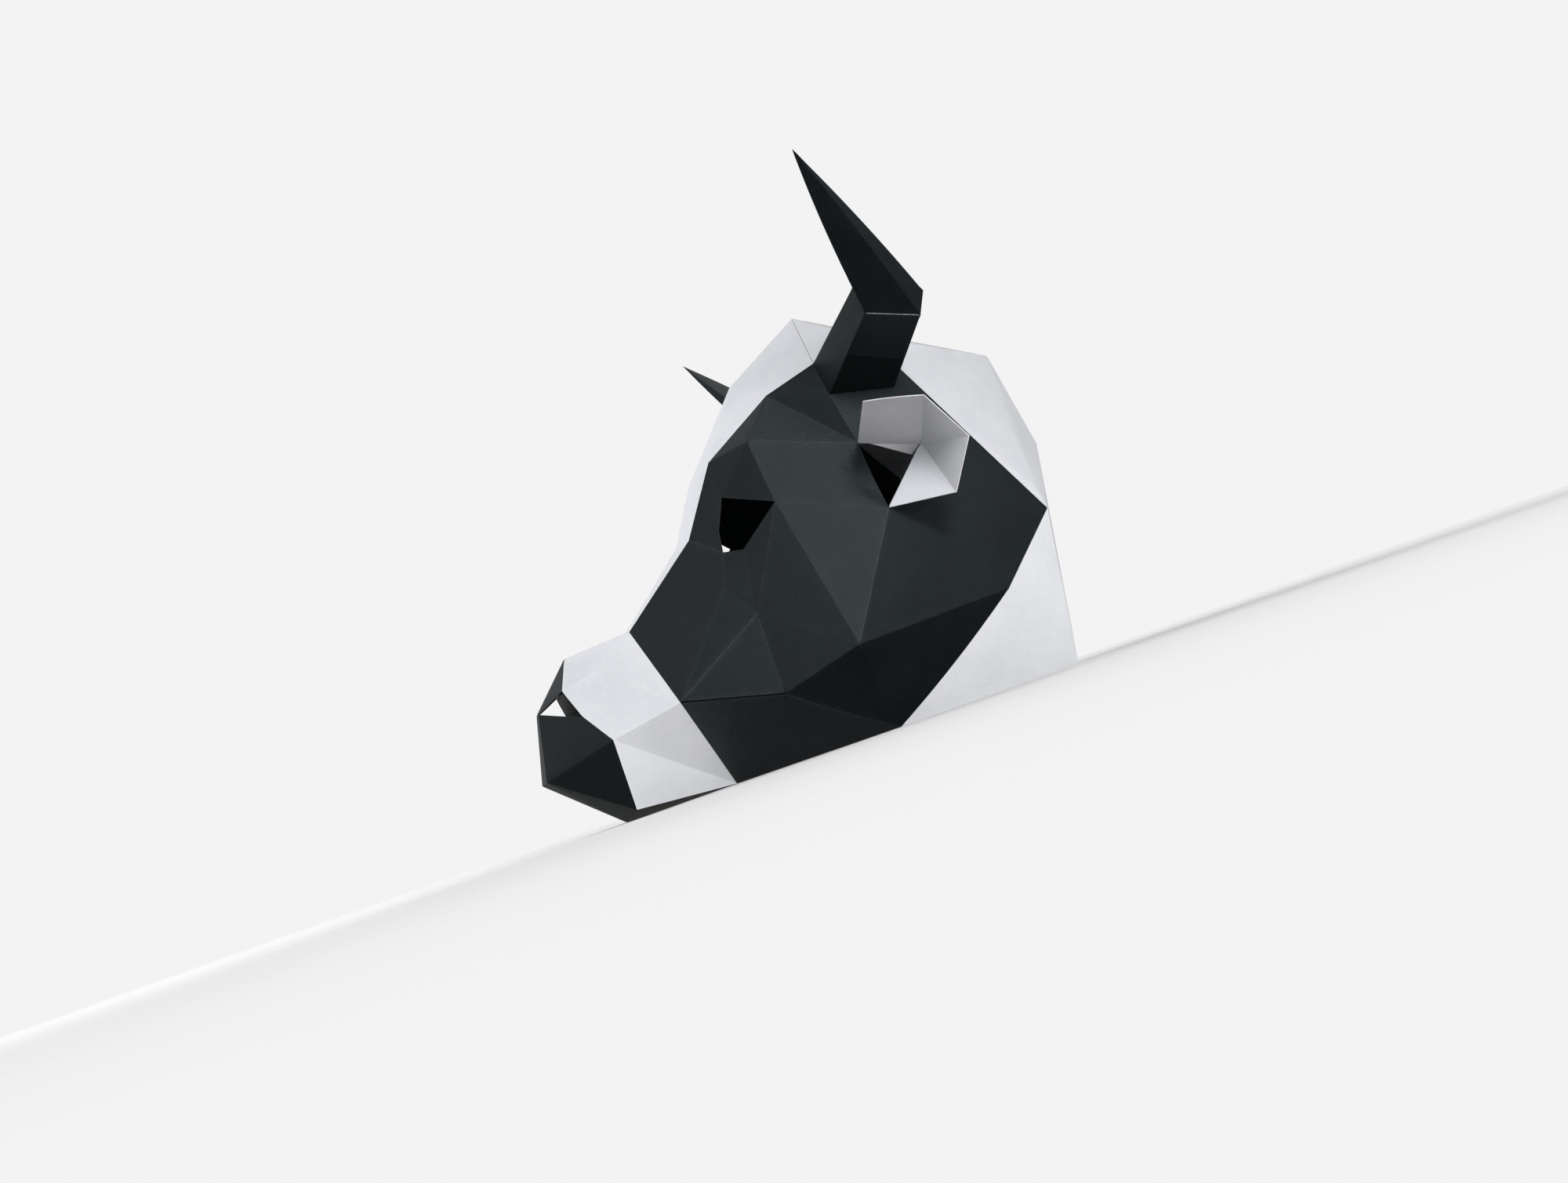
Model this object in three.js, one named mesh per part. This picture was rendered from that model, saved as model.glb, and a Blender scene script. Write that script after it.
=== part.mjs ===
// A paper cow mask, worn over the whole head: flat card facets folded and glued edge to edge.
// Millimetres, +Z up. The face looks along -Y, and the mask's left side is +X.

import * as THREE from 'three';

// Card
const CARD = 1.0;           // wall thickness
const SEAM = 0.3;           // clear gap between two sheets that are glued edge to edge
const MITRE_SOFTENING = 1e-4;
const LEVEL_WEIGHT = 100;
const PARALLEL_EDGES = 0.999;

const BLACK_CARD = { color: 0x2b3134, roughness: 0.75, metalness: 0 };
const WHITE_CARD = { color: 0xe8e9ee, roughness: 0.8, metalness: 0 };

// Fold corners of the left half, measured from the front end of the chin's keel:
// side is the distance from the symmetry plane, back the distance towards the nape, up the height.
const CORNERS = {
  // symmetry plane, from the nape over the poll and down the face
  nape_mid: { side: 0, back: 321, up: 0 },
  back_mid: { side: 0, back: 375, up: 162 },
  back_top: { side: 0, back: 362, up: 235 },
  poll: { side: 0, back: 229, up: 302 },
  forehead: { side: 0, back: 168, up: 266 },
  brow_mid: { side: 0, back: 117, up: 207 },
  bridge_mid: { side: 0, back: 94, up: 168 },
  nose_bridge: { side: 0, back: 41, up: 122 },
  nose_top: { side: 0, back: -5, up: 118 },
  nose_front: { side: 0, back: -34, up: 88 },
  lip_mid: { side: 0, back: -44, up: 42 },
  chin_mid: { side: 0, back: 0, up: 0 },
  throat_mid: { side: 0, back: 79, up: 0 },

  // neck opening
  throat: { side: 4, back: 79, up: 0 },
  jaw_corner: { side: 88, back: 177, up: 0 },
  nape: { side: 58, back: 321, up: 0 },

  // edge of the white blaze and crown
  blaze_end: { side: 20, back: 40, up: 120 },
  blaze_bridge: { side: 35, back: 96, up: 165 },
  blaze_brow: { side: 46, back: 124, up: 210 },
  blaze_top: { side: 60, back: 174, up: 240 },
  crown_side: { side: 98, back: 237, up: 254 },
  back_side: { side: 80, back: 329.5, up: 106.5 },
  nape_side: { side: 91.5, back: 278.5, up: 62.5 },

  // cheek
  brow: { side: 70, back: 148, up: 212 },
  ear_front: { side: 90, back: 214, up: 186 },
  ear_low: { side: 103.5, back: 214.5, up: 136.5 },
  ear_deep: { side: 94.5, back: 254, up: 172.5 },
  cheekbone: { side: 116, back: 161, up: 58 },
  cheek_front: { side: 80, back: 113, up: 99.5 },
  cheek_low: { side: 90.5, back: 110.5, up: 44.5 },
  under_eye: { side: 63.5, back: 102, up: 123 },

  // eye opening
  eye_top: { side: 56, back: 122, up: 183 },
  eye_outer: { side: 83, back: 149, up: 166 },
  eye_low: { side: 67, back: 122, up: 144 },
  eye_inner_low: { side: 57, back: 110.5, up: 147.5 },
  eye_inner: { side: 54, back: 113, up: 162 },

  // muzzle and nose
  muzzle_back: { side: 62, back: 50, up: 62 },
  muzzle_mid: { side: 22, back: 12, up: 102.5 },
  nostril_top: { side: 26, back: -16, up: 96 },
  nostril_back: { side: 42, back: -10, up: 74 },
  nostril_front: { side: 9, back: -34, up: 87 },
  lip_side: { side: 62, back: 1, up: 53 },
  lip: { side: 22, back: -44, up: 42 },
  chin: { side: 47, back: 3, up: 6 },

  // horn, from its root to its elbow and tip
  root_front: { side: 79, back: 207, up: 248 },
  root_low_front: { side: 84, back: 208.5, up: 223.5 },
  root_low_back: { side: 94.5, back: 249.5, up: 213.5 },
  root_back: { side: 92.5, back: 257.5, up: 227.5 },
  elbow_front: { side: 157, back: 222.5, up: 270 },
  elbow_low_front: { side: 160, back: 223.5, up: 251 },
  elbow_low_back: { side: 162.5, back: 257, up: 239.5 },
  elbow_back: { side: 163.5, back: 264, up: 254 },
  horn_tip: { side: 217, back: 194, up: 345 },

  // rim of the ear
  ear_rim_front: { side: 150, back: 206, up: 200 },
  ear_rim_top: { side: 165, back: 240, up: 190 },
  ear_rim_back: { side: 158, back: 262, up: 158 },
  ear_rim_low: { side: 135, back: 250, up: 129 },
};

// Sheets of card. Each facet lists its corners counter-clockwise as seen from outside.
// A joined sheet crosses the symmetry plane; a paired one is made once for each side.
// Folds are mitred within a shell, so the horns and ears keep square-cut roots.
const SHEETS = [
  {
    name: 'blaze', shell: 'head', paired: false, card: WHITE_CARD,
    facets: [
      'poll blaze_top root_front',
      'poll forehead blaze_top',
      'forehead blaze_brow blaze_top',
      'forehead brow_mid blaze_brow',
      'brow_mid blaze_bridge blaze_brow',
      'brow_mid bridge_mid blaze_bridge',
      'bridge_mid nose_bridge blaze_end blaze_bridge',
    ],
  },
  {
    name: 'crown', shell: 'head', paired: false, card: WHITE_CARD,
    facets: [
      'poll root_front crown_side',
      'poll crown_side back_top',
      'crown_side root_back back_side back_top',
      'back_top back_side back_mid',
      'back_mid back_side nape',
      'back_mid nape nape_mid',
      'back_side nape_side nape',
      'nape_side jaw_corner nape',
    ],
  },
  {
    name: 'muzzle', shell: 'head', paired: false, card: WHITE_CARD,
    facets: [
      'blaze_end nose_bridge nose_top',
      'blaze_end nose_top muzzle_mid muzzle_back',
      'nose_top nostril_top muzzle_mid',
      'muzzle_mid nostril_top nostril_back lip_side',
      'muzzle_mid lip_side muzzle_back',
      'lip_side throat muzzle_back',
      'lip_side chin throat',
    ],
  },
  {
    name: 'nose', shell: 'head', paired: false, card: BLACK_CARD,
    facets: [
      'nose_top nose_front nostril_front',
      'nose_top nostril_front nostril_top',
      'nose_front lip_mid lip nostril_front',
      'nostril_front lip lip_side nostril_back',
      'lip chin lip_side',
      'lip lip_mid chin_mid',
      'lip chin_mid chin',
      'chin chin_mid throat',
      'chin_mid throat_mid throat',
    ],
  },
  {
    name: 'cheek', shell: 'head', paired: true, card: BLACK_CARD,
    facets: [
      'root_front blaze_top root_low_front',
      'blaze_top ear_front root_low_front',
      'blaze_top brow ear_front',
      'blaze_top blaze_brow brow',
      'blaze_brow eye_top brow',
      'brow eye_top eye_outer',
      'brow eye_outer ear_low ear_front',
      'eye_outer cheekbone ear_low',
      'eye_outer cheek_front cheekbone',
      'cheek_front cheek_low cheekbone',
      'cheek_front muzzle_back cheek_low',
      'under_eye muzzle_back cheek_front',
      'blaze_bridge blaze_end muzzle_back under_eye eye_inner_low',
      'blaze_brow blaze_bridge eye_inner_low eye_inner',
      'blaze_brow eye_inner eye_top',
      'eye_inner_low under_eye cheek_front eye_low',
      'eye_low cheek_front eye_outer',
      'ear_front ear_deep root_low_back',
      'ear_front root_low_back root_low_front',
      'ear_low cheekbone nape_side back_side root_back root_low_back ear_deep',
      'cheekbone jaw_corner nape_side',
      'cheek_low jaw_corner cheekbone',
    ],
  },
  {
    name: 'jaw', shell: 'head', paired: true, card: BLACK_CARD,
    facets: ['muzzle_back throat jaw_corner cheek_low'],
  },
  {
    name: 'horn_base', shell: 'horn', paired: true, card: BLACK_CARD,
    facets: [
      'root_front root_low_front elbow_low_front elbow_front',
      'root_low_front root_low_back elbow_low_back elbow_low_front',
      'root_low_back root_back elbow_back elbow_low_back',
      'root_back crown_side elbow_back',
      'crown_side elbow_front elbow_back',
      'crown_side root_front elbow_front',
    ],
  },
  {
    name: 'horn_tip', shell: 'horn', paired: true, card: BLACK_CARD,
    facets: [
      'elbow_front elbow_low_front horn_tip',
      'elbow_low_front elbow_low_back horn_tip',
      'elbow_low_back elbow_back horn_tip',
      'elbow_back elbow_front horn_tip',
    ],
  },
  {
    name: 'ear', shell: 'ear', paired: true, card: WHITE_CARD,
    facets: [
      'ear_deep ear_front ear_rim_front',
      'ear_deep ear_rim_front ear_rim_top',
      'ear_deep ear_rim_top ear_rim_back',
      'ear_deep ear_rim_back ear_rim_low',
      'ear_deep ear_rim_low ear_low',
    ],
  },
];

// Corners of the neck opening that stand on the ground on the card's cut edge.
const RIM = ['jaw_corner', 'nape', 'nape_mid'];

const LEFT = { suffix: 'left', sign: 1 };
const RIGHT = { suffix: 'right', sign: -1 };

// A corner on the symmetry plane belongs to both sides.
function cornerKey(name, hand) {
  return CORNERS[name].side === 0 ? name : `${name} ${hand.suffix}`;
}

function cornerPoint(name, hand) {
  const { side, back, up } = CORNERS[name];
  return new THREE.Vector3(hand.sign * side, back, up);
}

// Newell's normal of a facet, which also serves one that is slightly out of flat.
function facetNormal(points) {
  const normal = new THREE.Vector3();
  points.forEach((point, i) => {
    normal.add(point.clone().cross(points[(i + 1) % points.length]));
  });
  return normal.normalize();
}

// Triangles of a facet, as positions in its list of corners.
function triangulate(points, normal) {
  const across = points[1].clone().sub(points[0]).normalize();
  const over = normal.clone().cross(across);
  const flat = points.map((point) => new THREE.Vector2(point.dot(across), point.dot(over)));
  return THREE.ShapeUtils.triangulateShape(flat, []);
}

// A facet of the left half, or its mirror image with the corners taken the other way round.
function makeFacet(list, hand) {
  const names = list.split(' ');
  const leftPoints = names.map((name) => cornerPoint(name, LEFT));
  const triangles = triangulate(leftPoints, facetNormal(leftPoints));
  if (hand === RIGHT) {
    names.reverse();
    triangles.forEach((triangle) => {
      triangle.forEach((corner, i) => { triangle[i] = names.length - 1 - corner; });
      triangle.reverse();
    });
  }
  const keys = names.map((name) => cornerKey(name, hand));
  const points = names.map((name) => cornerPoint(name, hand));
  const onRim = names.map((name) => RIM.includes(name));
  return { keys, points, onRim, triangles, normal: facetNormal(points) };
}

// Every sheet to be cut, with its facets.
function layOutSheets() {
  return SHEETS.flatMap(({ name, shell, paired, card, facets }) => {
    const half = (hand) => facets.map((list) => makeFacet(list, hand));
    if (!paired) return [{ name, shell, card, facets: [...half(LEFT), ...half(RIGHT)] }];
    return [LEFT, RIGHT].map((hand) => (
      { name: `${name}_${hand.suffix}`, shell, card, facets: half(hand) }
    ));
  });
}

// The shift from an outer corner to its inner one: one card thickness behind every facet
// that meets there, and level on the rim.
function mitreShift(normals, onRim) {
  const rows = normals.map((normal) => ({ normal, offset: -CARD }));
  if (onRim) rows.push({ normal: new THREE.Vector3(0, 0, LEVEL_WEIGHT), offset: 0 });
  const m = [0, 0, 0, 0, 0, 0, 0, 0, 0];
  const right = new THREE.Vector3();
  for (const { normal, offset } of rows) {
    const n = normal.toArray();
    n.forEach((a, i) => n.forEach((b, j) => { m[3 * i + j] += a * b; }));
    right.addScaledVector(normal, offset);
  }
  [0, 4, 8].forEach((i) => { m[i] += MITRE_SOFTENING; });
  return right.applyMatrix3(new THREE.Matrix3().set(...m).invert());
}

function mitreShifts(sheets) {
  const meeting = new Map();
  for (const { shell, facets } of sheets) {
    for (const { keys, onRim, normal } of facets) {
      keys.forEach((key, i) => {
        const id = `${shell}/${key}`;
        if (!meeting.has(id)) meeting.set(id, { normals: [], onRim: onRim[i] });
        meeting.get(id).normals.push(normal);
      });
    }
  }
  return new Map([...meeting].map(([id, { normals, onRim }]) => [id, mitreShift(normals, onRim)]));
}

function directedEdges({ facets }) {
  return facets.flatMap(({ keys, points, normal }) => keys.map((from, i) => {
    const next = (i + 1) % keys.length;
    const along = points[next].clone().sub(points[i]).normalize();
    return { from, to: keys[next], inward: normal.clone().cross(along) };
  }));
}

const edgeId = (from, to) => `${from}>${to}`;

// Edges of a sheet that no other facet of it shares.
function borderEdges(sheet) {
  const edges = directedEdges(sheet);
  const ids = new Set(edges.map(({ from, to }) => edgeId(from, to)));
  return edges.filter(({ from, to }) => !ids.has(edgeId(to, from)));
}

// The shift that draws a border corner back from its two edges by the given distances.
function drawBack(before, after) {
  const cosine = before.inward.dot(after.inward);
  if (Math.abs(cosine) > PARALLEL_EDGES) {
    const mean = before.inward.clone().add(after.inward).normalize();
    return mean.multiplyScalar((before.trim + after.trim) / 2);
  }
  const rest = 1 - cosine * cosine;
  return new THREE.Vector3()
    .addScaledVector(before.inward, (before.trim - cosine * after.trim) / rest)
    .addScaledVector(after.inward, (after.trim - cosine * before.trim) / rest);
}

// Border corners step back from a glued edge, and stay on a free one.
function seamShifts(border, gluedEdges) {
  const trimmed = border.map((edge) => (
    { ...edge, trim: gluedEdges.has(edgeId(edge.to, edge.from)) ? SEAM / 2 : 0 }
  ));
  const arriving = new Map(trimmed.map((edge) => [edge.to, edge]));
  return new Map(trimmed.map((edge) => [edge.from, drawBack(arriving.get(edge.from), edge)]));
}

// One sheet as a closed solid: outer skin, inner skin and the cut edge all round.
function cutSheet(sheet, mitres, allEdges) {
  const border = borderEdges(sheet);
  const seams = seamShifts(border, allEdges);
  const index = new Map();
  const positions = [];
  for (const { keys, points } of sheet.facets) {
    keys.forEach((key, i) => {
      if (index.has(key)) return;
      index.set(key, positions.length / 3);
      const outer = points[i].clone().add(seams.get(key) ?? new THREE.Vector3());
      const inner = outer.clone().add(mitres.get(`${sheet.shell}/${key}`));
      positions.push(...outer.toArray(), ...inner.toArray());
    });
  }
  const outerAt = (key) => index.get(key);
  const innerAt = (key) => index.get(key) + 1;
  const triangles = [];
  for (const { keys, triangles: parts } of sheet.facets) {
    for (const part of parts) {
      const [a, b, c] = part.map((corner) => keys[corner]);
      triangles.push(outerAt(a), outerAt(b), outerAt(c));
      triangles.push(innerAt(c), innerAt(b), innerAt(a));
    }
  }
  // Two sheets that meet split their cut edges along the same diagonal.
  for (const { from, to } of border) {
    if (from < to) {
      triangles.push(outerAt(to), outerAt(from), innerAt(to));
      triangles.push(outerAt(from), innerAt(from), innerAt(to));
    } else {
      triangles.push(outerAt(to), outerAt(from), innerAt(from));
      triangles.push(outerAt(to), innerAt(from), innerAt(to));
    }
  }
  const geometry = new THREE.BufferGeometry();
  geometry.setAttribute('position', new THREE.Float32BufferAttribute(positions, 3));
  geometry.setIndex(triangles);
  return geometry;
}

function buildMask() {
  const sheets = layOutSheets();
  const mitres = mitreShifts(sheets);
  const allEdges = new Set(sheets.flatMap(directedEdges).map(({ from, to }) => edgeId(from, to)));
  const mask = new THREE.Group();
  for (const sheet of sheets) {
    const material = new THREE.MeshStandardMaterial({ ...sheet.card, flatShading: true });
    const mesh = new THREE.Mesh(cutSheet(sheet, mitres, allEdges), material);
    mesh.name = sheet.name;
    mask.add(mesh);
  }
  // The origin is under the middle of the mask, on the ground that its rim stands on.
  const box = new THREE.Box3().setFromObject(mask);
  const middle = box.getCenter(new THREE.Vector3());
  mask.position.set(-middle.x, -middle.y, -box.min.z);
  return mask;
}

export default buildMask();
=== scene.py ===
# A paper cow mask of folded black and white card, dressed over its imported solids.
import math
from collections import namedtuple

import bmesh
import bpy
import numpy as np
from mathutils import Matrix, Vector, noise
from mathutils.geometry import delaunay_2d_cdt


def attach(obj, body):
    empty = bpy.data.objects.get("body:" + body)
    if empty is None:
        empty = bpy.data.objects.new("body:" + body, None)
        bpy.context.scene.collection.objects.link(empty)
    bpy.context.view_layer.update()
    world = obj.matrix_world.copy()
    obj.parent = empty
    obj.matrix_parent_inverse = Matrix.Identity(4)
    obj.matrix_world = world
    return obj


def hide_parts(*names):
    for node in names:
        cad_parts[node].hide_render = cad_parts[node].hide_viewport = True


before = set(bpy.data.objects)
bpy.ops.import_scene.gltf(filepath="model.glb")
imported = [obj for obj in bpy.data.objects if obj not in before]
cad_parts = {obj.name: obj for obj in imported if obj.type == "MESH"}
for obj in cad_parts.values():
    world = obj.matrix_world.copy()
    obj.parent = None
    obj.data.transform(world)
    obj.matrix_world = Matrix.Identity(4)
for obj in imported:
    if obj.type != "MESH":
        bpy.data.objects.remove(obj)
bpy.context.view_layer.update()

MM = 0.001
TINY = 1e-6             # keeps a division clear of zero

# Card, in millimetres
CARD = 0.6              # thickness that shows at a cut edge
SEAM = 0.3              # gap between two sheets glued edge to edge
FOLD = 0.45             # half width of a rounded fold
# The hem strip along a cut edge is painted lighter, partly as rubbed wear and partly as a painted
# highlight.
HEM = {"black_card": 0.45, "white_card": 0.8}    # rubbed strip along a cut edge
ROUNDED = 0.5           # how far a corner of folds is rounded off
RIPPLE = 0.12           # height of the waves in the card
RIPPLE_LENGTH = 22.0
MIDDLE = 165.5          # from the front end of the chin's keel to the middle of the box

# Bulge of a facet
BOW = 0.016             # as a share of the facet's half width
BOW_USUAL = 0.6         # part of it that facets have alike; noise adds to it or takes from it
BOW_NOISE = 0.031       # how fast that noise changes, for each millimetre
LIFT_FADE = 1.5         # how fast the lift of a bent edge fades into the facet

# Points of a facet's mesh
STEP = 4.5              # their spacing, in millimetres; the next three are shares of it
ROW_PITCH = 0.866       # from row to row
EDGE_CLEAR = 0.55       # from a point to the facet's edge
CORNER_LIMIT = 0.3      # most that a corner is drawn back
MERGE = 1e-5            # points closer than this are one, in millimetres
SHARP_SHARE = 0.5       # share of the way to a sharp corner's bisector that a strip may fill
BLUNT_SLOPE = 9.0       # stands for no such limit, at a blunt corner
SAME_LINE = 1e-3        # edges that meet this straight count as one line
MITRE_EASE = 1e-4       # keeps the mitre of nearly flat corners steady
INSIDE_ONLY = 1         # triangles within the outline alone

# Glue tabs on the inside, in millimetres
TAB_DEPTH = 9.0
TAB_SHARE = 0.22        # most depth, as a share of the seam's length
TAB_LEAST = 2.5         # least depth
TAB_TRIES = (1.0, 0.8, 0.65, 0.5)    # shares of the depth, until the tab fits
TAB_START = -0.3        # from the seam to the tab
TAB_END = 2.0           # from a corner to the tab
TAB_SLOPE = 0.6         # narrowing at each end, as a share of the depth
TAB_MARGIN = 1.0        # from the tab's far corners to the edges of the facet
TAB_GAP = 0.08          # between the tab and the card
TAB_CARD = 0.5
TAB_NEAR = 6            # points of the facet that a corner of the tab lies behind
HOLLOW = 0.1            # rise of a neighbour, as a share of its reach, that makes a hollow


def pair(first, second):
    return frozenset((first, second))


def by_pair(table):
    """A table by the names of two corners, whichever comes first."""
    return {pair(*names.split()): value for names, value in table.items()}


# Fold corners of the left half: side from the symmetry plane, back from the chin, and up.
CORNERS = {
    "nape_mid": (0, 321, 0), "back_mid": (0, 375, 162), "back_top": (0, 362, 235),
    "poll": (0, 229, 302), "forehead": (0, 168, 266), "brow_mid": (0, 117, 207),
    "bridge_mid": (0, 94, 168), "nose_bridge": (0, 41, 122), "nose_top": (0, -5, 118),
    "nose_front": (0, -34, 88), "lip_mid": (0, -44, 42), "chin_mid": (0, 0, 0),
    "throat_mid": (0, 79, 0),
    "throat": (4, 79, 0), "jaw_corner": (88, 177, 0), "nape": (58, 321, 0),
    "blaze_end": (20, 40, 120), "blaze_bridge": (35, 96, 165), "blaze_brow": (46, 124, 210),
    "blaze_top": (60, 174, 240), "crown_side": (98, 237, 254), "back_side": (80, 329.5, 106.5),
    "nape_side": (91.5, 278.5, 62.5),
    "brow": (70, 148, 212), "ear_front": (90, 214, 186), "ear_low": (103.5, 214.5, 136.5),
    "ear_deep": (94.5, 254, 172.5), "cheekbone": (116, 161, 58), "cheek_front": (80, 113, 99.5),
    "cheek_low": (90.5, 110.5, 44.5), "under_eye": (63.5, 102, 123),
    "eye_top": (56, 122, 183), "eye_outer": (83, 149, 166), "eye_low": (67, 122, 144),
    "eye_inner_low": (57, 110.5, 147.5), "eye_inner": (54, 113, 162),
    "muzzle_back": (62, 50, 62), "muzzle_mid": (22, 12, 102.5), "nostril_top": (26, -16, 96),
    "nostril_back": (42, -10, 74), "nostril_front": (9, -34, 87), "lip_side": (62, 1, 53),
    "lip": (22, -44, 42), "chin": (47, 3, 6),
    "root_front": (79, 207, 248), "root_low_front": (84, 208.5, 223.5),
    "root_low_back": (94.5, 249.5, 213.5), "root_back": (92.5, 257.5, 227.5),
    "elbow_front": (157, 222.5, 270), "elbow_low_front": (160, 223.5, 251),
    "elbow_low_back": (162.5, 257, 239.5), "elbow_back": (163.5, 264, 254),
    "horn_tip": (217, 194, 345),
    "ear_rim_front": (150, 206, 200), "ear_rim_top": (165, 240, 190),
    "ear_rim_back": (158, 262, 158), "ear_rim_low": (135, 250, 129),
}

# Sheets of card, each with its facets, counter-clockwise as seen from outside.
SHEETS = [
    {"name": "blaze", "shell": "head", "paired": False, "slot": "white_card", "facets": [
        "poll blaze_top root_front", "poll forehead blaze_top", "forehead blaze_brow blaze_top",
        "forehead brow_mid blaze_brow", "brow_mid blaze_bridge blaze_brow",
        "brow_mid bridge_mid blaze_bridge", "bridge_mid nose_bridge blaze_end blaze_bridge"]},
    {"name": "crown", "shell": "head", "paired": False, "slot": "white_card", "facets": [
        "poll root_front crown_side", "poll crown_side back_top",
        "crown_side root_back back_side back_top", "back_top back_side back_mid",
        "back_mid back_side nape", "back_mid nape nape_mid", "back_side nape_side nape",
        "nape_side jaw_corner nape"]},
    {"name": "muzzle", "shell": "head", "paired": False, "slot": "white_card", "facets": [
        "blaze_end nose_bridge nose_top", "blaze_end nose_top muzzle_mid muzzle_back",
        "nose_top nostril_top muzzle_mid", "muzzle_mid nostril_top nostril_back lip_side",
        "muzzle_mid lip_side muzzle_back", "lip_side throat muzzle_back", "lip_side chin throat"]},
    {"name": "nose", "shell": "head", "paired": False, "slot": "black_card", "facets": [
        "nose_top nose_front nostril_front", "nose_top nostril_front nostril_top",
        "nose_front lip_mid lip nostril_front", "nostril_front lip lip_side nostril_back",
        "lip chin lip_side", "lip lip_mid chin_mid", "lip chin_mid chin", "chin chin_mid throat",
        "chin_mid throat_mid throat"]},
    {"name": "cheek", "shell": "head", "paired": True, "slot": "black_card", "facets": [
        "root_front blaze_top root_low_front", "blaze_top ear_front root_low_front",
        "blaze_top brow ear_front", "blaze_top blaze_brow brow", "blaze_brow eye_top brow",
        "brow eye_top eye_outer", "brow eye_outer ear_low ear_front",
        "eye_outer cheekbone ear_low", "eye_outer cheek_front cheekbone",
        "cheek_front cheek_low cheekbone", "cheek_front muzzle_back cheek_low",
        "under_eye muzzle_back cheek_front",
        "blaze_bridge blaze_end muzzle_back under_eye eye_inner_low",
        "blaze_brow blaze_bridge eye_inner_low eye_inner", "blaze_brow eye_inner eye_top",
        "eye_inner_low under_eye cheek_front eye_low", "eye_low cheek_front eye_outer",
        "ear_front ear_deep root_low_back", "ear_front root_low_back root_low_front",
        "ear_low cheekbone nape_side back_side root_back root_low_back ear_deep",
        "cheekbone jaw_corner nape_side", "cheek_low jaw_corner cheekbone"]},
    {"name": "jaw", "shell": "head", "paired": True, "slot": "black_card", "facets": [
        "muzzle_back throat jaw_corner cheek_low"]},
    {"name": "horn_base", "shell": "horn", "paired": True, "slot": "black_card", "facets": [
        "root_front root_low_front elbow_low_front elbow_front",
        "root_low_front root_low_back elbow_low_back elbow_low_front",
        "root_low_back root_back elbow_back elbow_low_back", "root_back crown_side elbow_back",
        "crown_side elbow_front elbow_back", "crown_side root_front elbow_front"]},
    {"name": "horn_tip", "shell": "horn", "paired": True, "slot": "black_card", "facets": [
        "elbow_front elbow_low_front horn_tip", "elbow_low_front elbow_low_back horn_tip",
        "elbow_low_back elbow_back horn_tip", "elbow_back elbow_front horn_tip"]},
    {"name": "ear", "shell": "ear", "paired": True, "slot": "white_card", "facets": [
        "ear_deep ear_front ear_rim_front", "ear_deep ear_rim_front ear_rim_top",
        "ear_deep ear_rim_top ear_rim_back", "ear_deep ear_rim_back ear_rim_low",
        "ear_deep ear_rim_low ear_low"]},
]

# How far a fold or cut edge is painted lighter, from 0 to 1: partly rubbed wear, partly a painted
# highlight where it catches the light; the rest take their card's own share.
WORN_AND_LIT = by_pair({
    "cheek_front muzzle_back": 0.9, "cheekbone ear_low": 0.45, "cheek_front cheek_low": 0.35,
    "blaze_bridge eye_inner_low": 0.4, "brow ear_front": 0.45, "under_eye muzzle_back": 0.3,
    "cheek_front eye_outer": 0.3, "brow eye_outer": 0.25, "cheekbone eye_outer": 0.12,
    "eye_outer ear_low": 0.2, "under_eye cheek_front": 0.25, "under_eye eye_inner_low": 0.25,
    "eye_low cheek_front": 0.15, "muzzle_back cheek_low": 0.7, "cheek_low jaw_corner": 0.5,
    "lip_mid lip": 0.5, "lip chin_mid": 0.4, "nose_front nostril_front": 0.4,
})
WORN_AND_LIT_FOLD = {"black_card": 0.06, "white_card": 0.30}
WORN_AND_LIT_HEM = {"black_card": 0.22, "white_card": 0.12}
WORN_AND_LIT_BESIDE_OTHER = {"black_card": 0.0, "white_card": 0.8}    # where black and white card meet
# Beside a fold the lighter colour is a soft painted highlight that fades into the facet.
HIGHLIGHT_BESIDE = 0.12      # wear beside a fold, as a share of that on it

# Seams that gape a little, in millimetres.
OPEN_SEAMS = by_pair({"muzzle_back cheek_low": 1.6, "elbow_low_front elbow_low_back": 0.6})

# At these corners of a gaping seam its tab shows, and ends this far from the corner or past it.
SHOWN_TAB_END = {"muzzle_back": 0.0, "cheek_low": -0.8}

# Edges that the card has pulled out of straight, in millimetres: away from a corner, or, where
# none is named, off the facet.
BOWED = by_pair({
    "nape_side jaw_corner": {"away": "cheekbone", "by": 2.2},
    "ear_front ear_low": {"away": None, "by": -4.5},
    "ear_rim_front ear_rim_top": {"away": "ear_deep", "by": 1.2},
    "cheek_low jaw_corner": {"away": "cheekbone", "by": 1.2},
    "elbow_front horn_tip": {"away": "elbow_low_back", "by": 1.5},
    "elbow_low_front horn_tip": {"away": "elbow_back", "by": 1.5},
    "elbow_low_back horn_tip": {"away": "elbow_front", "by": 1.5},
    "elbow_back horn_tip": {"away": "elbow_low_front", "by": 1.5},
})

# A painted shadow: the underside of a horn is painted darker and duller towards its root, past a
# line at this share from its elbow.
DARK_FROM, DARK_TO = ("root_low_front", "root_low_back"), ("elbow_low_front", "elbow_low_back")
DARK_FACET = {*DARK_FROM, *DARK_TO}
DARK_LINE, DARK_BLUR, DARK_SHARE = 0.53, 0.012, 0.92

# The ear's upper tab hangs loose behind the hole: where it starts and ends along its edge, where
# its point lies and how deep, in millimetres, and the two parts of its direction.
LOOSE_FROM, LOOSE_TO = "ear_front", "ear_deep"
LOOSE_TAB = pair(LOOSE_FROM, LOOSE_TO)
LOOSE_START, LOOSE_END, LOOSE_POINT, LOOSE_DEPTH = 8.0, 1.0, 5.0, 9.0
LOOSE_IN, LOOSE_DOWN = 0.75, 0.65

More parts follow.
